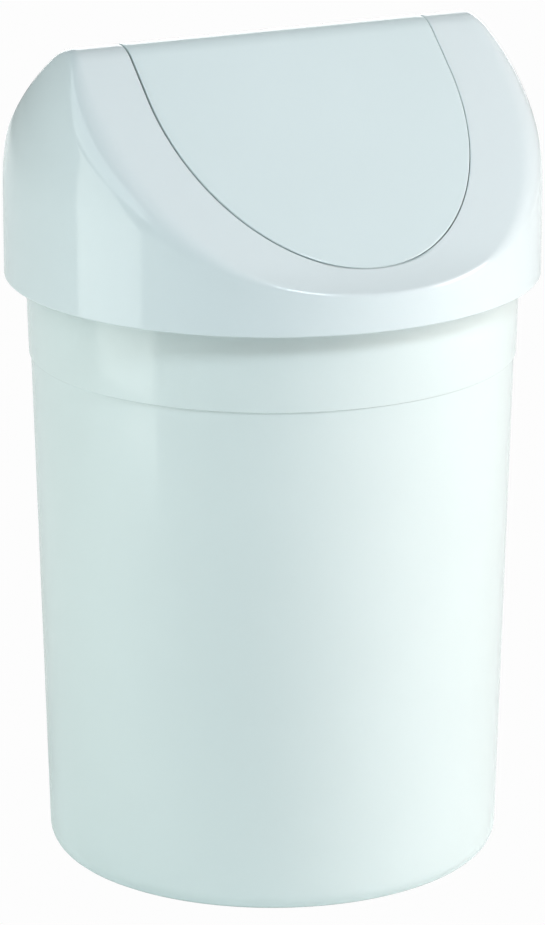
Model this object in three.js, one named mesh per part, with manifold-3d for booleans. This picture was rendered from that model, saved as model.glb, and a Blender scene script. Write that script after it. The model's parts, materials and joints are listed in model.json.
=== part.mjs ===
// A round swing-lid waste bin: a tapered bucket, a lift-off hood and a
// roof-shaped flap that swings both ways on two stub pins under the ridge.
// Millimetres, +Z up. The origin is on the bin's axis at the floor, the ridge
// runs along X and the bin's front faces -Y.

import * as THREE from 'three';
import { mergeVertices } from 'three/addons/utils/BufferGeometryUtils.js';
import Module from 'manifold-3d';

const wasm = await Module();
wasm.setup();

// ---------------------------------------------------------------- driving sizes

const WALL = 2;                   // moulded wall of all three pieces
const ROUND_SEGMENTS = 72;        // facets round the bin
const RUNNING_GAP = 0.3;          // pin to bearing, hood to bucket

// Bucket
const BASE_RADIUS = 111;          // outside, just above the bottom corner
const BASE_CORNER = 12;           // radius of the bottom corner
const FOOT_WIDTH = 7;             // flat ring that the bin stands on
const FOOT_HEIGHT = 3;            // recess inside the ring
const STEP_HEIGHT = 252;          // where the collar begins
const STEP_RADIUS = 117.5;        // outside, just under the collar
const STEP_OUT = 1;               // how far the collar stands proud
const RIM_HEIGHT = 304;
const RIM_RADIUS = 126;           // outside of the turned-over rim
const RIM_LIP = 8;                // how far the rim turns down

// Hood
const HOOD_RADIUS = 130;
const HOOD_BOTTOM = 291.5;
const DOME_CENTRE = 332;          // height where the round wall becomes a dome
const ROOF_SLOPE = THREE.MathUtils.degToRad(40.5);
const ROOF_APEX = 415;            // where the two slopes would meet
const RIDGE_RADIUS = 18.5;        // rounding along the ridge
const EAVE_SLOPE = THREE.MathUtils.degToRad(26);
const EAVE_START = 115;           // distance from the ridge where the roof flattens
const PLUG_DEPTH = 7;             // ring that drops inside the bucket's mouth

// Flap and its opening, laid out on the slope from the apex line
const OPENING_HALF_WIDTH = 80;
const OPENING_STRAIGHT = 40;      // straight sides, measured down the slope
const OPENING_REACH = 150;        // rounded tip, measured down the slope
const FLAP_GAP = 0.8;
const FLANGE_DEPTH = 6.5;         // stiffening edge under the flap

// Pivot
const PIN_RADIUS = 3;
const PIN_OVERHANG = 6.3;         // pin length beyond the flap's side
const FLAP_LUG_RADIUS = 12.6;
const BEARING_RADIUS = 8;
const BEARING_THICKNESS = 4;
const BEARING_SETBACK = 0.6;      // bearing plate behind the opening's edge
const SNAP_SLOT_WIDTH = 4.8;

// ---------------------------------------------------------------- worked out

const ridgeSpan = RIDGE_RADIUS / Math.cos(ROOF_SLOPE);
const pivotHeight = ROOF_APEX - ridgeSpan;
const taper = (STEP_RADIUS - BASE_RADIUS) / (STEP_HEIGHT - BASE_CORNER);
const outsideRadius = (z) => BASE_RADIUS + (z - BASE_CORNER) * taper;
const collarRadius = (z) => outsideRadius(z) + STEP_OUT;
const mouthRadius = collarRadius(RIM_HEIGHT) - WALL;

// ---------------------------------------------------------------- helpers

/** Turns a closed three.js geometry into a solid that can be joined and cut. */
function solid(geometry) {
  const bare = geometry.clone();
  bare.deleteAttribute('normal');
  bare.deleteAttribute('uv');
  const merged = mergeVertices(bare, 1e-4);
  const index = merged.index.array;
  const triangles = [];
  for (let i = 0; i < index.length; i += 3) {
    const [a, b, c] = [index[i], index[i + 1], index[i + 2]];
    if (a !== b && b !== c && c !== a) {
      triangles.push(a, b, c);
    }
  }
  const mesh = new wasm.Mesh({
    numProp: 3,
    vertProperties: new Float32Array(merged.attributes.position.array),
    triVerts: new Uint32Array(triangles),
  });
  return new wasm.Manifold(mesh);
}

/** Turns a solid back into a geometry with flat-shaded normals. */
function geometryOf(shape) {
  const mesh = shape.getMesh();
  const geometry = new THREE.BufferGeometry();
  geometry.setAttribute('position', new THREE.BufferAttribute(mesh.vertProperties, 3));
  geometry.setIndex(new THREE.BufferAttribute(mesh.triVerts, 1));
  geometry.computeVertexNormals();
  return geometry;
}

/** Points of an arc in the half plane [radius, height], angles in degrees. */
function arcPoints(centreR, centreZ, radius, fromDeg, toDeg, steps) {
  const points = [];
  for (let i = 0; i <= steps; i += 1) {
    const angle = THREE.MathUtils.degToRad(fromDeg + ((toDeg - fromDeg) * i) / steps);
    points.push([centreR + radius * Math.cos(angle), centreZ + radius * Math.sin(angle)]);
  }
  return points;
}

/** Revolves [radius, height] points about Z. */
function turned(points) {
  const profile = points.map(([r, z]) => new THREE.Vector2(r, z));
  const geometry = new THREE.LatheGeometry(profile, ROUND_SEGMENTS);
  geometry.rotateX(Math.PI / 2);
  return solid(geometry);
}

/** Extrudes a shape drawn in [Y, Z] along X, from one X to the other. */
function alongX(shape, fromX, toX) {
  const geometry = new THREE.ExtrudeGeometry(shape, {
    depth: toX - fromX,
    bevelEnabled: false,
    curveSegments: 12,
  });
  const toYZ = new THREE.Matrix4().set(
    0, 0, 1, fromX,
    1, 0, 0, 0,
    0, 1, 0, 0,
    0, 0, 0, 1,
  );
  geometry.applyMatrix4(toYZ);
  return solid(geometry);
}

/** A cylinder on the pivot's axis, from one X to the other. */
function onPivot(radius, fromX, toX, segments) {
  const geometry = new THREE.CylinderGeometry(radius, radius, Math.abs(toX - fromX), segments);
  geometry.rotateZ(Math.PI / 2);
  geometry.translate((fromX + toX) / 2, 0, pivotHeight);
  return solid(geometry);
}

/** The same thing on both sides of the bin: side is -1 or 1. */
function bothSides(make) {
  return make(-1).add(make(1));
}

// ---------------------------------------------------------------- the roof

/** Everything under the roof, moved inwards by inset, as a long prism. */
function underRoof(inset) {
  const far = HOOD_RADIUS + 10;
  const floor = HOOD_BOTTOM - 40;
  const drop = 1 / Math.cos(ROOF_SLOPE) - 1 / Math.cos(EAVE_SLOPE);
  const bend = EAVE_START - (inset * drop) / (Math.tan(ROOF_SLOPE) - Math.tan(EAVE_SLOPE));
  const bendHeight = ROOF_APEX - bend * Math.tan(ROOF_SLOPE) - inset / Math.cos(ROOF_SLOPE);
  const farHeight = bendHeight - (far - bend) * Math.tan(EAVE_SLOPE);
  const shape = new THREE.Shape();
  shape.moveTo(-far, floor);
  shape.lineTo(far, floor);
  shape.lineTo(far, farHeight);
  shape.lineTo(bend, bendHeight);
  shape.absarc(
    0,
    pivotHeight,
    RIDGE_RADIUS - inset,
    Math.PI / 2 - ROOF_SLOPE,
    Math.PI / 2 + ROOF_SLOPE,
    false,
  );
  shape.lineTo(-bend, bendHeight);
  shape.lineTo(-far, farHeight);
  return alongX(shape, -far, far);
}

/** The round wall and dome, moved inwards by inset, down to the given height. */
function underDome(inset, bottom) {
  const radius = HOOD_RADIUS - inset;
  return turned([
    [0, bottom],
    [radius, bottom],
    ...arcPoints(0, DOME_CENTRE, radius, 0, 90, 22),
  ]);
}

/** The cutter for the flap's opening, smaller by margin all round. */
function openingCutter(margin) {
  const half = OPENING_HALF_WIDTH - margin;
  const reach = OPENING_REACH - OPENING_STRAIGHT - margin;
  const depth = 24;
  const shape = new THREE.Shape();
  shape.moveTo(half, 0);
  shape.lineTo(half, OPENING_STRAIGHT);
  shape.absellipse(0, OPENING_STRAIGHT, half, reach, 0, Math.PI, false, 0);
  shape.lineTo(-half, 0);
  const options = { depth, bevelEnabled: false, curveSegments: 20 };
  const leaf = new THREE.ExtrudeGeometry(shape, options);
  leaf.translate(0, 0, -depth / 2);
  const rear = leaf.clone();
  rear.rotateX(-ROOF_SLOPE);
  rear.translate(0, 0, ROOF_APEX);
  const front = rear.clone();
  front.rotateZ(Math.PI);
  const ridge = new THREE.BoxGeometry(2 * half, 2 * RIDGE_RADIUS, 2 * ridgeSpan);
  ridge.translate(0, 0, ROOF_APEX - ridgeSpan / 2);
  return solid(rear).add(solid(front)).add(solid(ridge));
}

// ---------------------------------------------------------------- bucket

function makeBucket() {
  const cornerCentre = BASE_RADIUS - BASE_CORNER;
  const footInner = cornerCentre - FOOT_WIDTH;
  const floorTop = FOOT_HEIGHT + WALL;
  const innerCorner = BASE_CORNER - WALL;
  const cornerStart = THREE.MathUtils.radToDeg(Math.asin((floorTop - BASE_CORNER) / innerCorner));
  return turned([
    [0, FOOT_HEIGHT],
    [footInner - FOOT_HEIGHT, FOOT_HEIGHT],
    [footInner, 0],
    ...arcPoints(cornerCentre, BASE_CORNER, BASE_CORNER, -90, 0, 7),
    [outsideRadius(STEP_HEIGHT), STEP_HEIGHT],
    [collarRadius(STEP_HEIGHT + STEP_OUT), STEP_HEIGHT + STEP_OUT],
    [collarRadius(RIM_HEIGHT - WALL), RIM_HEIGHT - WALL],
    [RIM_RADIUS - WALL, RIM_HEIGHT - WALL],
    [RIM_RADIUS - WALL, RIM_HEIGHT - RIM_LIP],
    [RIM_RADIUS, RIM_HEIGHT - RIM_LIP],
    [RIM_RADIUS, RIM_HEIGHT],
    [mouthRadius, RIM_HEIGHT],
    [collarRadius(STEP_HEIGHT) - WALL, STEP_HEIGHT],
    ...arcPoints(cornerCentre, BASE_CORNER, innerCorner, 0, cornerStart, 4),
    [0, floorTop],
  ]);
}

// ---------------------------------------------------------------- hood

/** Ring inside the hood: it rests on the rim and drops inside the mouth. */
function seatRing() {
  const restHeight = RIM_HEIGHT + RUNNING_GAP;
  const plugOuter = mouthRadius - RUNNING_GAP;
  const plugInner = plugOuter - WALL;
  const intoWall = HOOD_RADIUS - WALL / 2;
  return turned([
    [plugInner, restHeight - PLUG_DEPTH],
    [plugOuter, restHeight - PLUG_DEPTH],
    [plugOuter, restHeight],
    [intoWall, restHeight],
    [intoWall, restHeight + WALL],
    [plugInner, restHeight + WALL],
    [plugInner, restHeight - PLUG_DEPTH],
  ]);
}

/** Plate that hangs from the ridge and holds a pin in a snap-in bearing. */
function bearingPlate(side) {
  const near = OPENING_HALF_WIDTH + BEARING_SETBACK;
  const xs = [side * near, side * (near + BEARING_THICKNESS)].sort((a, b) => a - b);
  const intoRoof = RIDGE_RADIUS - WALL / 2;
  const spread = Math.asin(BEARING_RADIUS / intoRoof);
  const shape = new THREE.Shape();
  shape.absarc(0, pivotHeight, BEARING_RADIUS, Math.PI, 2 * Math.PI, false);
  shape.absarc(0, pivotHeight, intoRoof, Math.PI / 2 - spread, Math.PI / 2 + spread, false);
  const slot = new THREE.BoxGeometry(3 * BEARING_THICKNESS, SNAP_SLOT_WIDTH, 2 * BEARING_RADIUS);
  slot.translate((xs[0] + xs[1]) / 2, 0, pivotHeight - BEARING_RADIUS);
  const bore = onPivot(PIN_RADIUS + RUNNING_GAP, xs[0] - 1, xs[1] + 1, 32);
  return alongX(shape, xs[0], xs[1]).subtract(bore).subtract(solid(slot));
}

function makeHood() {
  const outside = underDome(0, HOOD_BOTTOM).intersect(underRoof(0));
  const inside = underDome(WALL, HOOD_BOTTOM - 10).intersect(underRoof(WALL));
  return outside
    .subtract(inside)
    .subtract(openingCutter(0))
    .add(seatRing())
    .add(bothSides(bearingPlate));
}

// ---------------------------------------------------------------- flap

/** End plate and stub pin at one end of the ridge. */
function flapPivot(side) {
  const sideFace = OPENING_HALF_WIDTH - FLAP_GAP;
  const lug = onPivot(FLAP_LUG_RADIUS, side * (sideFace - WALL), side * sideFace, 40);
  const pin = onPivot(PIN_RADIUS, side * (sideFace - WALL / 2), side * (sideFace + PIN_OVERHANG), 24);
  return lug.add(pin);
}

function makeFlap() {
  const outline = openingCutter(FLAP_GAP);
  const edgeBand = outline.subtract(openingCutter(FLAP_GAP + WALL));
  const roof = underRoof(0);
  const skin = roof.subtract(underRoof(WALL)).intersect(outline);
  const flange = roof.subtract(underRoof(FLANGE_DEPTH)).intersect(edgeBand);
  return skin.add(flange).add(bothSides(flapPivot));
}

// ---------------------------------------------------------------- assembly

const group = new THREE.Group();

function addPiece(name, shape, color, roughness) {
  const material = new THREE.MeshStandardMaterial({ color, roughness, metalness: 0 });
  const mesh = new THREE.Mesh(geometryOf(shape), material);
  mesh.name = name;
  group.add(mesh);
}

addPiece('bucket', makeBucket(), 0xe4efee, 0.3);
addPiece('hood', makeHood(), 0xe6eff1, 0.25);
addPiece('flap', makeFlap(), 0xe8f0f3, 0.25);

export default group;
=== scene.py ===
import json
import math

import bmesh
import bpy
import numpy as np
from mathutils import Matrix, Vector


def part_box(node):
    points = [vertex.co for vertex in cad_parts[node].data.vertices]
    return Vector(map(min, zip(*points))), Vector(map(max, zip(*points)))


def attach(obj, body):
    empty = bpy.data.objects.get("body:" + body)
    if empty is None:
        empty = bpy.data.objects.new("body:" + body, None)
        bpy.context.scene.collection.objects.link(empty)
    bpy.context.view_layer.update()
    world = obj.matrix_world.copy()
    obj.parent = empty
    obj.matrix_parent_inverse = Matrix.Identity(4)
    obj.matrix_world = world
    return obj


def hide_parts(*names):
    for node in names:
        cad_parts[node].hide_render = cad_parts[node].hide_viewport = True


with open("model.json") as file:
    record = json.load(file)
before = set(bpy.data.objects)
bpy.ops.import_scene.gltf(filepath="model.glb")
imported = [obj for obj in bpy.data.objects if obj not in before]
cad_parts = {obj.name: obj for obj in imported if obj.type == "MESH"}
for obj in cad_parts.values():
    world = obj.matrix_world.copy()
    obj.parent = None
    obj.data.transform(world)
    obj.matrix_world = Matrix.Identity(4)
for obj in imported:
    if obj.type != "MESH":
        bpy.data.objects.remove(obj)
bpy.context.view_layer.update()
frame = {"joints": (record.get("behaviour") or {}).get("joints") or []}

# ---------------------------------------------------------------- driving sizes

MM = 0.001
bucket_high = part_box("bucket")[1]
hood_low, hood_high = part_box("hood")
pivot = next(j for j in frame["joints"] if j["name"] == "flap_swing")["pos_m"]

WALL = 2 * MM
RUNNING_GAP = 0.3 * MM              # pin to bearing, hood to bucket
PIVOT_Z = pivot[2]

RIM_RADIUS = bucket_high.x
RIM_TOP = bucket_high.z
RIM_LIP = 8 * MM                    # how far the rim turns down
RIM_WEBS = 24                       # thin webs that stiffen the rim from below
WEB_HALF_THICKNESS = 0.6 * MM
BASE_RADIUS = 111 * MM
BASE_CORNER = 12 * MM               # height at which BASE_RADIUS is measured
BASE_FILLET = 10 * MM               # rounding of the bottom corner
FOOT_WIDTH = 7 * MM
FOOT_HEIGHT = 3 * MM
GATE_RADIUS = 4 * MM                # mark of the moulding gate under the base
GATE_DEPTH = 0.8 * MM
STEP_Z = 252 * MM                   # where the collar begins
STEP_RADIUS = 117.5 * MM
STEP_OUT = 1 * MM
TAPER = (STEP_RADIUS - BASE_RADIUS) / (STEP_Z - BASE_CORNER)

HOOD_RADIUS = hood_high.x
HOOD_BOTTOM = hood_low.z
RIDGE_TOP = hood_high.z
RIDGE_RADIUS = RIDGE_TOP - PIVOT_Z
DOME_CENTRE = 335 * MM              # height where the round wall becomes a dome
SLOPE = math.radians(40.5)
APEX = PIVOT_Z + RIDGE_RADIUS / math.cos(SLOPE)
EAVE = math.radians(26)             # the flatter end of the slope
EAVE_START = 115 * MM
EAVE_BLEND = 3 * MM
SEAT_TOP = RIM_TOP + RUNNING_GAP + WALL
PLUG_DEPTH = 7 * MM                 # ring that drops inside the bucket's mouth

# How widely the slope rounds into the wall: crisp in front, soft beside it,
# and crisper again where the ridge ends.
CRISP_EDGE = 1.4 * MM
SOFT_EDGE = 8.5 * MM                # what is added where the edge is softest
SOFT_FROM = 20                      # degrees away from the front or the rear
SOFT_FULLY = 64
SOFT_AT_RIDGE = 0.2                 # share of SOFT_EDGE left at the ridge's ends
RIDGE_END_REACH = 45 * MM
LEAST_BLEND = 1.2 * MM

OPENING_HALF_WIDTH = 80 * MM
OPENING_STRAIGHT = 40 * MM          # down the slope from the apex line
OPENING_REACH = 150 * MM
FLAP_GAP = 0.65 * MM
FLAP_PLAY = 0.3 * MM                # the flap sits this far to the right
FLANGE_DEPTH = 6.5 * MM
EDGE_RADIUS = 0.4 * MM              # rounding of the flap's and opening's edges

PIN_RADIUS = 3 * MM
PIN_OVERHANG = 6.3 * MM             # pin length beyond the end plate
LUG_RADIUS = 12.6 * MM              # round end plates of the flap
LUG_THICKNESS = 2.4 * MM
LUG_SETBACK = 0.8 * MM              # end plate inside the opening's edge
BEARING_RADIUS = 8 * MM
BEARING_THICKNESS = 4 * MM
BEARING_SETBACK = 0.6 * MM          # bearing plate behind the opening's edge
SNAP_HALF_SLOT = 2.4 * MM           # the pin snaps in from below through this


# ---------------------------------------------------------------- mesh helpers

def add_object(name, data):
    """An object in the scene that shows the given data."""
    thing = bpy.data.objects.new(name, data)
    bpy.context.scene.collection.objects.link(thing)
    return thing


def make_object(name, verts, faces, smooth=True):
    """A mesh object from points and faces, with faces turned outwards."""
    mesh = bpy.data.meshes.new(name)
    mesh.from_pydata([tuple(v) for v in verts], [], [tuple(f) for f in faces])
    bm = bmesh.new()
    bm.from_mesh(mesh)
    bmesh.ops.remove_doubles(bm, verts=bm.verts, dist=1e-6)
    bmesh.ops.dissolve_degenerate(bm, edges=bm.edges, dist=1e-7)
    bmesh.ops.recalc_face_normals(bm, faces=bm.faces)
    if bm.calc_volume(signed=True) < 0:
        bmesh.ops.reverse_faces(bm, faces=bm.faces)
    for face in bm.faces:
        face.smooth = smooth
    bm.to_mesh(mesh)
    bm.free()
    return add_object(name, mesh)


def grid_faces(rows, columns, wrap_rows=False, wrap_columns=False, start=0):
    """Quads over a grid of points stored row by row."""
    faces = []
    for i in range(rows if wrap_rows else rows - 1):
        for j in range(columns if wrap_columns else columns - 1):
            a = start + i * columns + j
            b = start + i * columns + (j + 1) % columns
            c = start + ((i + 1) % rows) * columns + (j + 1) % columns
            d = start + ((i + 1) % rows) * columns + j
            faces.append((a, b, c, d))
    return faces


def filleted(corners, steps=6):
    """An open 2D path through (u, v, radius) corners, each rounded by its radius."""
    path = []
    for i, (u, v, radius) in enumerate(corners):
        here = np.array([u, v])
        if radius <= 0:
            path.append(here)
            continue
        before = np.array(corners[i - 1][:2]) - here
        after = np.array(corners[i + 1][:2]) - here
        before /= np.linalg.norm(before)
        after /= np.linalg.norm(after)
        half = math.acos(np.clip(before @ after, -1, 1)) / 2
        reach = radius / math.tan(half)
        inwards = (before + after) / np.linalg.norm(before + after)
        centre = here + inwards * radius / math.sin(half)
        first = here + before * reach - centre
        last = here + after * reach - centre
        sweep = math.pi - 2 * half
        for k in range(steps + 1):
            t = k / steps
            arm = math.sin((1 - t) * sweep) * first + math.sin(t * sweep) * last
            path.append(centre + arm / math.sin(sweep))
    return np.array(path)


def subdivided(path, longest):
    """The same path with no stretch longer than the given length."""
    points = [path[0]]
    for a, b in zip(path[:-1], path[1:]):
        pieces = max(1, math.ceil(np.linalg.norm(b - a) / longest))
        for k in range(1, pieces + 1):
            points.append(a + (b - a) * k / pieces)
    return np.array(points)


def turned(name, path, segments=256):
    """Revolves a path of (radius, height) about Z; both ends lie on the axis."""
    angles = np.arange(segments) * 2 * math.pi / segments
    verts = []
    for angle in angles:
        for r, z in path:
            verts.append((r * math.cos(angle), r * math.sin(angle), z))
    return make_object(name, verts, grid_faces(segments, len(path), wrap_rows=True))


# ---------------------------------------------------------------- bucket

def outside_radius(z):
    """The tub's outside below the collar."""
    return BASE_RADIUS + (z - BASE_CORNER) * TAPER


def collar_radius(z):
    """The tub's outside from the collar up."""
    return outside_radius(z) + STEP_OUT


def make_bucket():
    """The tub as one turned shell: foot ring, rounded corner, collar, rim."""
    foot_outer = BASE_RADIUS - BASE_CORNER
    foot_inner = foot_outer - FOOT_WIDTH
    floor_top = FOOT_HEIGHT + WALL
    mouth = collar_radius(RIM_TOP) - WALL
    under_rim = RIM_TOP - WALL
    lip_bottom = RIM_TOP - RIM_LIP
    foot_radius = BASE_RADIUS - BASE_CORNER * TAPER
    corners = [
        (0, FOOT_HEIGHT - GATE_DEPTH, 0),
        (GATE_RADIUS, FOOT_HEIGHT - GATE_DEPTH, 0.3 * MM),
        (GATE_RADIUS + 0.5 * MM, FOOT_HEIGHT, 0.3 * MM),
        (foot_inner - 3 * MM, FOOT_HEIGHT, 2 * MM),
        (foot_inner, 0, 0.8 * MM),
        (foot_radius, 0, BASE_FILLET),
        (outside_radius(STEP_Z), STEP_Z, 0.3 * MM),
        (collar_radius(STEP_Z), STEP_Z + 0.4 * MM, 0.35 * MM),
        (collar_radius(under_rim), under_rim, 1.2 * MM),
        (RIM_RADIUS - WALL, under_rim, 1 * MM),
        (RIM_RADIUS - WALL, lip_bottom, 0.6 * MM),
        (RIM_RADIUS, lip_bottom, 0.6 * MM),
        (RIM_RADIUS, RIM_TOP, 1.8 * MM),
        (mouth, RIM_TOP, 1 * MM),
        (collar_radius(STEP_Z) - WALL, STEP_Z, 6 * MM),
        (foot_radius - WALL, floor_top, BASE_CORNER - WALL),
        (0, floor_top, 0),
    ]
    path = subdivided(filleted(corners, steps=8), 12 * MM)
    piece = turned("bucket_shell", path)
    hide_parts("bucket")
    return piece


def make_rim_gussets():
    """Thin webs that stiffen the turned-over rim from below."""
    verts = []
    faces = []
    into_rim = 0.2 * MM
    into_wall = 0.3 * MM
    top = RIM_TOP - WALL + into_rim
    inner = collar_radius(top) - into_wall
    outer = RIM_RADIUS - WALL + into_wall
    outline = [(inner, top), (outer, top), (outer, top - 4.5 * MM), (inner, top - 6.5 * MM)]
    for i in range(RIM_WEBS):
        angle = 2 * math.pi * (i + 0.5) / RIM_WEBS
        radial = Vector((math.cos(angle), math.sin(angle), 0))
        across = Vector((-math.sin(angle), math.cos(angle), 0)) * WEB_HALF_THICKNESS
        start = len(verts)
        for side in (-1, 1):
            for r, z in outline:
                verts.append(radial * r + across * side + Vector((0, 0, z)))
        faces.append([start + k for k in (0, 1, 2, 3)])
        faces.append([start + k for k in (7, 6, 5, 4)])
        for k in range(4):
            n = (k + 1) % 4
            faces.append([start + k, start + 4 + k, start + 4 + n, start + n])
    return make_object("rim_gussets", verts, faces, smooth=False)


# ---------------------------------------------------------------- roof and dome

def smooth_max(a, b, blend):
    """The larger of two distances, with a rounded change over the blend."""
    near = np.clip(blend - np.abs(a - b), 0, None) / blend
    return np.maximum(a, b) + near * near * blend / 4


def roof_distance(y, z):
    """Distance outside the roof: rounded ridge, slope, then a flatter eave."""
    away = np.abs(y)
    slope = away * math.sin(SLOPE) + (z - APEX) * math.cos(SLOPE)
    ridge = np.hypot(away, z - PIVOT_Z) - RIDGE_RADIUS
    on_ridge = np.arctan2(away, z - PIVOT_Z) < SLOPE
    upper = np.where(on_ridge, ridge, slope)
    eave_z = APEX - EAVE_START * math.tan(SLOPE)
    eave = (away - EAVE_START) * math.sin(EAVE) + (z - eave_z) * math.cos(EAVE)
    return -smooth_max(-upper, -eave, EAVE_BLEND)


def dome_distance(x, y, z):
    """Distance outside the round wall and the dome above it."""
    flat = np.hypot(x, y)
    above = np.clip(z - DOME_CENTRE, 0, None)
    return np.hypot(flat, above) - HOOD_RADIUS


def eased(value):
    """0 below 0, 1 above 1, with a soft change in between."""
    value = np.clip(value, 0, 1)
    return value * value * (3 - 2 * value)


def edge_softness(x, y):
    """How widely the slope rounds into the wall over a place in plan."""
    turn = np.degrees(np.arctan2(np.abs(x), np.abs(y)))
    beside = eased((turn - SOFT_FROM) / (SOFT_FULLY - SOFT_FROM))
    off_ridge = SOFT_AT_RIDGE + (1 - SOFT_AT_RIDGE) * eased(np.abs(y) / RIDGE_END_REACH)
    return CRISP_EDGE + SOFT_EDGE * beside * off_ridge


def hood_distance(points, inset):
    """Distance outside the hood's surface, or outside that surface moved inwards."""
    x, y, z = points[..., 0], points[..., 1], points[..., 2]
    blend = np.maximum(edge_softness(x, y) - inset, LEAST_BLEND)
    return smooth_max(roof_distance(y, z), dome_distance(x, y, z), blend) + inset


def onto_hood(points, inset=0.0):
    """Moves points square onto the hood's surface, inset from the outside."""
    step = 0.01 * MM
    for _ in range(12):
        value = hood_distance(points, inset)
        gradient = np.empty_like(points)
        for axis in range(3):
            shift = np.zeros(3)
            shift[axis] = step
            ahead = hood_distance(points + shift, inset)
            behind = hood_distance(points - shift, inset)
            gradient[..., axis] = (ahead - behind) / (2 * step)
        size = np.sum(gradient * gradient, axis=-1, keepdims=True)
        points = points - value[..., None] * gradient / size
    return points


def bisected(low, high, outside):
    """The value between low and high from which on the test says outside."""
    for _ in range(50):
        middle = (low + high) / 2
        too_far = outside(middle)
        high = np.where(too_far, middle, high)
        low = np.where(too_far, low, middle)
    return (low + high) / 2


def roof_height(y, inset=0.0):
    """Height of the roof over y, inset from the outside."""
    margin = 100 * MM
    low = np.full(np.shape(y), HOOD_BOTTOM - margin)
    high = np.full(np.shape(y), RIDGE_TOP + margin)
    return bisected(low, high, lambda z: roof_distance(y, z) + inset > 0)


def roof_normal(y):
    """Unit normal of the roof over y (ridge and slopes)."""
    tilt = np.arcsin(np.clip(np.abs(y) / RIDGE_RADIUS, 0, math.sin(SLOPE)))
    return np.stack([np.zeros_like(y), np.sign(y) * np.sin(tilt), np.cos(tilt)], axis=-1)


# The roof unrolled flat: "along" is the distance over the roof from the ridge's
# middle line, front negative, and "depth" goes square down into the roof.

RIDGE_ARC = RIDGE_RADIUS * SLOPE
FLAT_SHIFT = RIDGE_ARC - RIDGE_RADIUS * math.tan(SLOPE)
STRAIGHT_END = OPENING_STRAIGHT + FLAT_SHIFT
TIP_REACH = OPENING_REACH - OPENING_STRAIGHT


def rolled(x, along, depth=0.0):
    """A point of the unrolled roof, back in its place."""
    x, along, depth = np.broadcast_arrays(x, along, depth)
    side = np.sign(along)
    angle = np.minimum(np.abs(along), RIDGE_ARC) / RIDGE_RADIUS
    beyond = np.clip(np.abs(along) - RIDGE_ARC, 0, None)
    radius = RIDGE_RADIUS - depth
    y = side * (radius * np.sin(angle) + beyond * math.cos(SLOPE))
    z = PIVOT_Z + radius * np.cos(angle) - beyond * math.sin(SLOPE)
    return np.stack([x, y, z], axis=-1)


def opening_half(inset, rows):
    """Right half of the opening's outline, front tip to rear tip, moved inwards."""
    turn = np.linspace(math.pi / 2, 0, rows["tip"] + 1)
    normal = np.stack([np.cos(turn) * TIP_REACH, np.sin(turn) * OPENING_HALF_WIDTH], axis=-1)
    normal /= np.linalg.norm(normal, axis=-1, keepdims=True)
    x = OPENING_HALF_WIDTH * np.cos(turn) - inset * normal[:, 0]
    along = STRAIGHT_END + TIP_REACH * np.sin(turn) - inset * normal[:, 1]
    front = np.stack([x, -along], axis=-1)
    slope = np.linspace(-STRAIGHT_END, -RIDGE_ARC, rows["slope"] + 1)[1:]
    ridge = np.linspace(-RIDGE_ARC, RIDGE_ARC, rows["ridge"] + 1)[1:-1]
    middle_along = np.concatenate([slope, ridge, -slope[::-1]])
    width = np.full_like(middle_along, OPENING_HALF_WIDTH - inset)
    middle = np.stack([width, middle_along], axis=-1)
    rear = (front * [1, -1])[::-1]
    return np.concatenate([front, middle, rear])


def opening_ring(inset, rows):
    """The whole outline as a closed ring of (x, along), moved inwards."""
    half = opening_half(inset, rows)
    left = (half[1:-1] * [-1, 1])[::-1]
    return np.concatenate([half, left])


# ---------------------------------------------------------------- flap

FLAP_ROWS = {"tip": 44, "slope": 8, "ridge": 28}
FLAP_COLUMNS = 48


def flap_sheet(inset, depth):
    """A full sheet of points across the flap, at one inset and depth."""
    half = opening_half(inset, FLAP_ROWS)
    across = np.linspace(-1, 1, FLAP_COLUMNS + 1)
    x = half[:, 0][:, None] * across[None, :]
    along = np.repeat(half[:, 1][:, None], FLAP_COLUMNS + 1, axis=1)
    return rolled(x, along, depth)


def flap_ring(inset, depth):
    """The flap's outline as a closed ring, at one inset and depth."""
    return rolled(*opening_ring(inset, FLAP_ROWS).T, depth)


def make_flap():
    """The flap as one closed shell: skin, rounded edge and stiffening flange."""
    edge = EDGE_RADIUS
    outer_inset = FLAP_GAP
    inner_inset = FLAP_GAP + WALL
    verts = []
    faces = []

    top = flap_sheet(outer_inset + edge, 0)
    rows, columns = top.shape[:2]
    faces += grid_faces(rows, columns, start=0)
    verts += list(top.reshape(-1, 3))

    rings = []
    for turn in np.linspace(0, math.pi / 2, 5):
        rings.append((outer_inset + edge * (1 - math.sin(turn)), edge * (1 - math.cos(turn))))
    for depth in np.linspace(edge, FLANGE_DEPTH - edge, 4)[1:]:
        rings.append((outer_inset, depth))
    for turn in np.linspace(0, math.pi / 2, 4)[1:]:
        away = edge * (1 - math.cos(turn))
        above = edge * (1 - math.sin(turn))
        rings.append((outer_inset + away, FLANGE_DEPTH - above))
    rings.append((inner_inset - edge, FLANGE_DEPTH))
    rings.append((inner_inset, FLANGE_DEPTH - edge))
    rings.append((inner_inset, WALL + edge))
    rings.append((inner_inset + edge, WALL))
    start = len(verts)
    for inset, depth in rings:
        verts += list(flap_ring(inset, depth))
    faces += grid_faces(len(rings), len(flap_ring(0, 0)), wrap_columns=True, start=start)

    start = len(verts)
    under = flap_sheet(inner_inset + edge, WALL)
    faces += grid_faces(rows, columns, start=start)
    verts += list(under.reshape(-1, 3))

    verts = [(x + FLAP_PLAY, y, z) for x, y, z in verts]
    piece = make_object("flap_panel", verts, faces)
    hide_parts("flap")
    return piece


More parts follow.
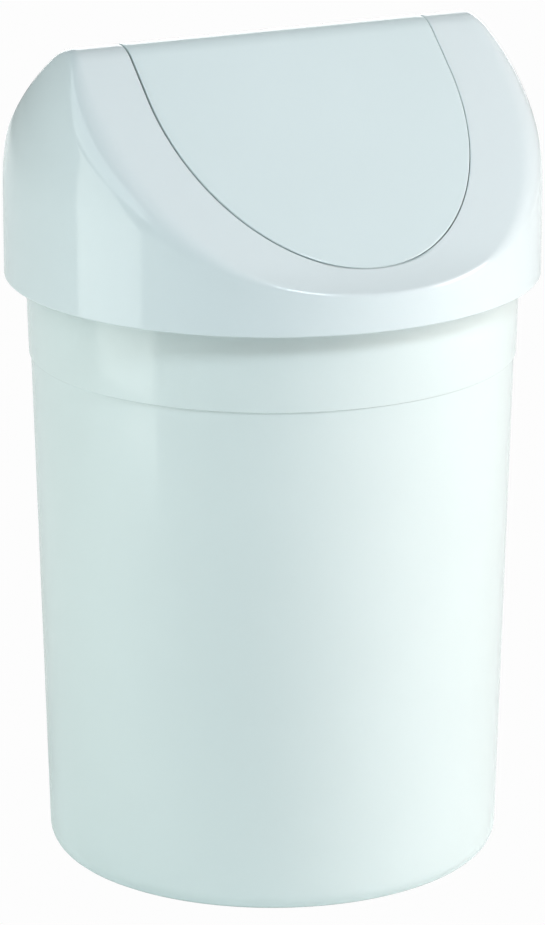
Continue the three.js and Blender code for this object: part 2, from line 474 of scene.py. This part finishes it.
def make_flap_pivot(side, name):
    """End plate and stub pin at one end of the flap's ridge, turned about X."""
    edge = OPENING_HALF_WIDTH - LUG_SETBACK
    inner_face = edge - LUG_THICKNESS
    outer_face = edge - 0.1 * MM
    pin_end = edge + PIN_OVERHANG
    corners = [
        (0, inner_face, 0),
        (LUG_RADIUS, inner_face, 0.5 * MM),
        (LUG_RADIUS, outer_face, 0.3 * MM),
        (PIN_RADIUS + 1.6 * MM, outer_face, 0.4 * MM),
        (PIN_RADIUS, edge + 0.5 * MM, 0.4 * MM),
        (PIN_RADIUS, pin_end, 0.7 * MM),
        (0, pin_end, 0),
    ]
    path = subdivided(filleted(corners), 3 * MM)
    piece = turned(name, path, segments=64)
    for v in piece.data.vertices:
        v.co = (side * v.co.z, v.co.x, PIVOT_Z + v.co.y)
    if side < 0:
        piece.data.flip_normals()
    return piece


# ---------------------------------------------------------------- hood

AZIMUTHS = 480
FINE_ROWS = {"tip": 900, "slope": 200, "ridge": 300}


def opening_by_azimuth():
    """Even turns about the axis, and the opening's edge at each of them."""
    ring = rolled(*opening_ring(0, FINE_ROWS).T)
    turn = np.unwrap(np.arctan2(ring[:, 1], ring[:, 0]))
    wanted = turn[0] + np.arange(AZIMUTHS) * 2 * math.pi / AZIMUTHS
    closed_turn = np.append(turn, turn[0] + 2 * math.pi)
    closed = np.concatenate([ring, ring[:1]])
    columns = [np.interp(wanted, closed_turn, closed[:, axis]) for axis in range(3)]
    return wanted, np.stack(columns, axis=-1)


def edge_corner(turn, inset):
    """Where the slope would meet the wall or dome in each section, unrounded."""

    def outside(r):
        z = roof_height(r * np.sin(turn), inset)
        return dome_distance(r * np.cos(turn), r * np.sin(turn), z) + inset > 0

    farthest = np.full_like(turn, HOOD_RADIUS - inset)
    r = bisected(np.zeros_like(turn), farthest, outside)
    return r, roof_height(r * np.sin(turn), inset)


def wall_radius(z, inset):
    """The round wall's radius at a height, smaller in the dome."""
    above = np.clip(z - DOME_CENTRE, 0, None)
    return np.sqrt((HOOD_RADIUS - inset) ** 2 - above ** 2)


def spread(count, power):
    """Steps from 0 to 1, closer together near 0."""
    return (np.arange(count + 1) / count) ** power


def ring_at(turn, r, z):
    """Points round the axis at one radius and height, or one pair for each turn."""
    return np.stack([r * np.cos(turn), r * np.sin(turn), z + 0 * turn], axis=-1)


def hood_section_points(turn, rim, inset, low_z, face_count, wall_count):
    """Points from the opening's rim over the edge and down to low_z."""
    crowding = 1.7
    radius, height = edge_corner(turn, inset)
    corner = np.stack([radius * np.cos(turn), radius * np.sin(turn)], axis=-1)
    columns = []
    for t in 1 - spread(face_count, crowding)[::-1][:-1]:
        plan = rim[:, :2] + (corner - rim[:, :2]) * t
        z = roof_height(plan[:, 1], inset)
        columns.append(np.stack([plan[:, 0], plan[:, 1], z], axis=-1))
    for t in spread(wall_count, crowding):
        z = height + (low_z - height) * t
        columns.append(ring_at(turn, wall_radius(z, inset), z))
    return onto_hood(np.stack(columns, axis=1), inset)


def make_hood():
    """The hood as one closed shell, built section by section round the axis."""
    turn, rim = opening_by_azimuth()
    tangent = np.roll(rim, -1, axis=0) - np.roll(rim, 1, axis=0)
    normal = roof_normal(rim[:, 1])
    outward = np.cross(tangent, normal)
    outward /= np.linalg.norm(outward, axis=-1, keepdims=True)
    edge = EDGE_RADIUS
    outer_rim = rim + outward * edge
    outer = hood_section_points(turn, outer_rim, 0.0, HOOD_BOTTOM + 0.8 * MM, 30, 44)
    inner_rim = outer_rim - normal * WALL
    inner = hood_section_points(turn, inner_rim, WALL, SEAT_TOP + 0.3 * MM, 16, 24)

    loop = []
    for k in np.linspace(math.pi / 2, 0, 5)[:-1]:
        bend = outward * edge * (1 - math.sin(k)) - normal * edge * (1 - math.cos(k))
        loop.append(rim + bend)
    loop += list(np.moveaxis(outer, 1, 0))

    plug_outer = collar_radius(RIM_TOP) - WALL - RUNNING_GAP
    plug_inner = plug_outer - WALL
    wall_inner = HOOD_RADIUS - WALL
    rest = SEAT_TOP - WALL
    plug_bottom = rest - PLUG_DEPTH
    skirt = filleted([
        (HOOD_RADIUS, HOOD_BOTTOM + 1.5 * MM, 0),
        (HOOD_RADIUS, HOOD_BOTTOM, 0.7 * MM),
        (wall_inner, HOOD_BOTTOM, 0.5 * MM),
        (wall_inner, rest, 0.8 * MM),
        (plug_outer, rest, 0.4 * MM),
        (plug_outer, plug_bottom, 0.5 * MM),
        (plug_inner, plug_bottom, 0.5 * MM),
        (plug_inner, SEAT_TOP, 0.5 * MM),
        (wall_inner, SEAT_TOP, 0.2 * MM),
        (wall_inner, SEAT_TOP + 0.25 * MM, 0),
    ], steps=4)
    loop += [ring_at(turn, r, z) for r, z in skirt[1:-1]]
    loop += list(np.moveaxis(inner, 1, 0))[::-1]
    loop.append(rim - normal * (WALL - edge))

    points = np.stack(loop, axis=1)
    count = points.shape[1]
    faces = grid_faces(AZIMUTHS, count, wrap_rows=True, wrap_columns=True)
    piece = make_object("hood_shell", points.reshape(-1, 3), faces)
    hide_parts("hood")
    return piece


def arc_points(radius, first, last, count):
    """Points (y, z) on an arc about the pivot, turning from straight up."""
    return [(radius * math.sin(k), radius * math.cos(k)) for k in np.linspace(first, last, count)]


def make_bearing(side, name):
    """Plate under the ridge with a snap-in bearing for one stub pin."""
    bore = PIN_RADIUS + RUNNING_GAP
    into_roof = RIDGE_RADIUS - WALL / 2
    half_top = math.asin(BEARING_RADIUS / into_roof)
    slot_turn = math.pi - math.asin(SNAP_HALF_SLOT / BEARING_RADIUS)
    mouth_turn = math.pi - math.asin(SNAP_HALF_SLOT / bore)
    outline = arc_points(into_roof, -half_top, half_top, 13)
    outline += arc_points(BEARING_RADIUS, math.pi / 2, slot_turn, 13)
    outline += arc_points(bore, mouth_turn, -mouth_turn, 33)
    outline += arc_points(BEARING_RADIUS, -slot_turn, -math.pi / 2, 13)
    near = OPENING_HALF_WIDTH + BEARING_SETBACK
    bm = bmesh.new()
    ring = [bm.verts.new((side * near, y, PIVOT_Z + z)) for y, z in outline]
    face = bm.faces.new(ring)
    grown = bmesh.ops.extrude_face_region(bm, geom=[face])
    moved = [g for g in grown["geom"] if isinstance(g, bmesh.types.BMVert)]
    bmesh.ops.translate(bm, verts=moved, vec=(side * BEARING_THICKNESS, 0, 0))
    bmesh.ops.recalc_face_normals(bm, faces=bm.faces)
    sharp = [e for e in bm.edges if e.calc_face_angle(0) > math.radians(60)]
    bmesh.ops.bevel(bm, geom=sharp, offset=0.35 * MM, segments=2, affect="EDGES", profile=0.5)
    mesh = bpy.data.meshes.new(name)
    bm.to_mesh(mesh)
    bm.free()
    return add_object(name, mesh)


# ---------------------------------------------------------------- materials

DRIFT_SHADE = 0.975                 # how dark the colour drifts
SCUFF_SHADE = 0.9                   # colour of a worn edge against the rest
SCUFF_ROUGHNESS = 0.25              # roughness that wear adds
POLISH_SPREAD = (0.75, 1.3)         # roughness from the glossiest to the dullest place


def shaded(color, factor):
    """An opaque colour, made darker by a factor."""
    return (*[c * factor for c in color], 1)


def moulded_plastic(name, color, roughness, waviness):
    """Glossy moulded plastic: faint colour drift, orange peel, flow waviness,
    and raised edges that handling has slightly dulled in patches."""
    material = bpy.data.materials.new(name)
    material.use_nodes = True
    nodes = material.node_tree.nodes
    links = material.node_tree.links
    shader = nodes["Principled BSDF"]
    shader.inputs["IOR"].default_value = 1.5
    shader.inputs["Specular IOR Level"].default_value = 0.5
    place = nodes.new("ShaderNodeTexCoord")
    shape = nodes.new("ShaderNodeNewGeometry")

    def noise(scale, detail):
        texture = nodes.new("ShaderNodeTexNoise")
        texture.inputs["Scale"].default_value = scale
        texture.inputs["Detail"].default_value = detail
        links.new(place.outputs["Object"], texture.inputs["Vector"])
        return texture.outputs["Fac"]

    def ranged(value, low, high, to_low=0.0, to_high=1.0):
        scaled = nodes.new("ShaderNodeMapRange")
        scaled.inputs["From Min"].default_value = low
        scaled.inputs["From Max"].default_value = high
        scaled.inputs["To Min"].default_value = to_low
        scaled.inputs["To Max"].default_value = to_high
        links.new(value, scaled.inputs["Value"])
        return scaled.outputs["Result"]

    worn = nodes.new("ShaderNodeMath")
    worn.operation = "MULTIPLY"
    links.new(ranged(shape.outputs["Pointiness"], 0.53, 0.68), worn.inputs[0])
    links.new(ranged(noise(34, 5), 0.4, 0.64), worn.inputs[1])

    drift = nodes.new("ShaderNodeValToRGB")
    drift.color_ramp.elements[0].position = 0.3
    drift.color_ramp.elements[1].position = 0.7
    drift.color_ramp.elements[0].color = shaded(color, DRIFT_SHADE)
    drift.color_ramp.elements[1].color = shaded(color, 1)
    links.new(noise(9, 3), drift.inputs["Fac"])
    scuffed = nodes.new("ShaderNodeMix")
    scuffed.data_type = "RGBA"
    mixed = {socket.identifier: socket for socket in scuffed.inputs}
    links.new(worn.outputs["Value"], mixed["Factor_Float"])
    links.new(drift.outputs["Color"], mixed["A_Color"])
    mixed["B_Color"].default_value = shaded(color, SCUFF_SHADE)
    blended = {socket.identifier: socket for socket in scuffed.outputs}["Result_Color"]
    links.new(blended, shader.inputs["Base Color"])

    dulled = nodes.new("ShaderNodeMath")
    dulled.operation = "MULTIPLY_ADD"
    dulled.inputs[1].default_value = SCUFF_ROUGHNESS
    links.new(worn.outputs["Value"], dulled.inputs[0])
    polish = ranged(noise(55, 4), 0, 1, *[roughness * share for share in POLISH_SPREAD])
    links.new(polish, dulled.inputs[2])
    links.new(dulled.outputs["Value"], shader.inputs["Roughness"])

    peel = nodes.new("ShaderNodeBump")
    peel.inputs["Strength"].default_value = 0.05
    peel.inputs["Distance"].default_value = 0.02 * MM
    links.new(noise(900, 2), peel.inputs["Height"])
    waves = nodes.new("ShaderNodeBump")
    waves.inputs["Strength"].default_value = 1.0
    waves.inputs["Distance"].default_value = waviness
    links.new(noise(14, 1), waves.inputs["Height"])
    links.new(peel.outputs["Normal"], waves.inputs["Normal"])
    links.new(waves.outputs["Normal"], shader.inputs["Normal"])
    return material


def shown_as_white(tree, real, kind):
    """The camera sees an even white there, and every other ray the real thing."""
    even = tree.nodes.new(kind)
    even.inputs["Color"].default_value = shaded((1, 1, 1), BACKDROP_WHITE)
    sight = tree.nodes.new("ShaderNodeLightPath")
    choice = tree.nodes.new("ShaderNodeMixShader")
    tree.links.new(sight.outputs["Is Camera Ray"], choice.inputs["Fac"])
    tree.links.new(real, choice.inputs[1])
    tree.links.new(even.outputs[0], choice.inputs[2])
    return choice.outputs["Shader"]


def floor_material():
    """White paper that throws soft light back and has a faint glow of its own."""
    material = bpy.data.materials.new("studio_floor")
    material.use_nodes = True
    tree = material.node_tree
    paper = tree.nodes["Principled BSDF"]
    paper.inputs["Base Color"].default_value = PAPER_COLOR
    paper.inputs["Roughness"].default_value = 0.9
    paper.inputs["Specular IOR Level"].default_value = 0.1
    paper.inputs["Emission Color"].default_value = (1, 1, 1, 1)
    paper.inputs["Emission Strength"].default_value = FLOOR_GLOW
    shown = shown_as_white(tree, paper.outputs["BSDF"], "ShaderNodeEmission")
    tree.links.new(shown, tree.nodes["Material Output"].inputs["Surface"])
    return material


def dress(piece, material, body):
    """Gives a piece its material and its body."""
    piece.data.materials.clear()
    piece.data.materials.append(material)
    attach(piece, body)


# ---------------------------------------------------------------- object

bucket_plastic = moulded_plastic("bucket_plastic", (0.77, 0.865, 0.855), 0.12, 0.12 * MM)
hood_plastic = moulded_plastic("hood_plastic", (0.76, 0.85, 0.865), 0.1, 0.1 * MM)
flap_plastic = moulded_plastic("flap_plastic", (0.74, 0.855, 0.865), 0.11, 0.08 * MM)

dress(make_bucket(), bucket_plastic, "bucket")
dress(make_rim_gussets(), bucket_plastic, "bucket")
dress(make_hood(), hood_plastic, "hood")
dress(make_flap(), flap_plastic, "flap")
for side, word in ((-1, "left"), (1, "right")):
    dress(make_bearing(side, f"hood_bearing_{word}"), hood_plastic, "hood")
    dress(make_flap_pivot(side, f"flap_pivot_{word}"), flap_plastic, "flap")


# ---------------------------------------------------------------- stage

CAMERA_TURN = math.radians(-26)
CAMERA_REACH = 2.325
CAMERA_HEIGHT = 0.885
AIM_HEIGHT = 0.1932
LENS = 192.5                        # focal length and sensor in millimetres
SENSOR = 36
FARTHEST_SEEN = 50

BACKDROP_WHITE = 0.982
PAPER_COLOR = (0.79, 0.85, 0.85, 1)
FLOOR_GLOW = 0.13
FLOOR_HALF_SIZE = 12
ROOM_COLOR = (0.94, 1, 1, 1)
ROOM_GLOW = 0.05
LIGHT_AIM = Vector((0, 0, 0.2))
# name, (angle, reach, height), width, tall, watts, colour
SOFTBOXES = [
    ("key_right", (80, 1.6, 0.75), 0.6, 1.4, 18, (1, 0.89, 0.85)),
    ("key_front", (62, 1.65, 0.75), 0.6, 1.4, 3, (1, 0.97, 0.98)),
    ("lamp_front", (28, 1.5, 1.64), 0.4, 0.4, 14, (0.85, 0.93, 1)),
    ("high_left", (-62, 2.0, 2.0), 2.6, 1.6, 23, (0.92, 1, 1)),
    ("back", (180, 2.2, 0.9), 2.4, 1.2, 22, (1, 0.98, 0.97)),
]
# where the window's bottom edge stands: (angle, reach) of its two ends
WINDOW_ENDS = [(-85, 0.99), (-52, 0.72)]
WINDOW_HEIGHT = 0.58
WINDOW_POWER = 1.8
WINDOW_COLOR = (0.96, 1, 0.96)


def from_camera_side(angle, reach, height):
    """A place round the bin: angle from the camera's side, right is positive."""
    turn = CAMERA_TURN + math.radians(angle)
    return Vector((math.sin(turn) * reach, -math.cos(turn) * reach, height))


def face_along(thing, direction):
    """Turns a camera or a light so that it looks along the direction."""
    thing.rotation_euler = direction.to_track_quat("-Z", "Y").to_euler()


def make_camera():
    data = bpy.data.cameras.new("camera")
    data.lens = LENS
    data.sensor_width = SENSOR
    data.clip_end = FARTHEST_SEEN
    camera = add_object("camera", data)
    camera.location = from_camera_side(0, CAMERA_REACH, CAMERA_HEIGHT)
    face_along(camera, Vector((0, 0, AIM_HEIGHT)) - camera.location)
    bpy.context.scene.camera = camera


def make_floor():
    """A square sheet of paper, facing up."""
    half = FLOOR_HALF_SIZE
    corners = [(-half, -half, 0), (half, -half, 0), (half, half, 0), (-half, half, 0)]
    mesh = bpy.data.meshes.new("studio_floor")
    mesh.from_pydata(corners, [], [(0, 1, 2, 3)])
    mesh.materials.append(floor_material())
    add_object("studio_floor", mesh)


def softbox(name, place, normal, width, height, power, color):
    """A rectangular soft light, facing along the normal."""
    data = bpy.data.lights.new(name, "AREA")
    data.shape = "RECTANGLE"
    data.size = width
    data.size_y = height
    data.energy = power
    data.color = color
    light = add_object(name, data)
    light.location = place
    face_along(light, normal)


def make_lights():
    """The softboxes round the bin and the window at its left."""
    for name, (angle, reach, height), width, tall, power, color in SOFTBOXES:
        place = from_camera_side(angle, reach, height)
        softbox(name, place, LIGHT_AIM - place, width, tall, power, color)
    make_window()


def make_window():
    """A tall panel standing on the floor at the left; the gloss mirrors it."""
    first, last = (from_camera_side(*end, 0) for end in WINDOW_ENDS)
    along = last - first
    middle = (first + last) / 2 + Vector((0, 0, WINDOW_HEIGHT / 2))
    normal = Vector((0, 0, 1)).cross(along)
    softbox("window", middle, normal, along.length, WINDOW_HEIGHT, WINDOW_POWER, WINDOW_COLOR)


def make_world():
    """A dim, slightly cool room all round."""
    world = bpy.data.worlds.new("studio")
    bpy.context.scene.world = world
    world.use_nodes = True
    tree = world.node_tree
    room = tree.nodes["Background"]
    room.inputs["Color"].default_value = ROOM_COLOR
    room.inputs["Strength"].default_value = ROOM_GLOW
    shown = shown_as_white(tree, room.outputs["Background"], "ShaderNodeBackground")
    tree.links.new(shown, tree.nodes["World Output"].inputs["Surface"])


make_camera()
make_floor()
make_world()
make_lights()
bpy.context.scene.view_settings.view_transform = "Standard"
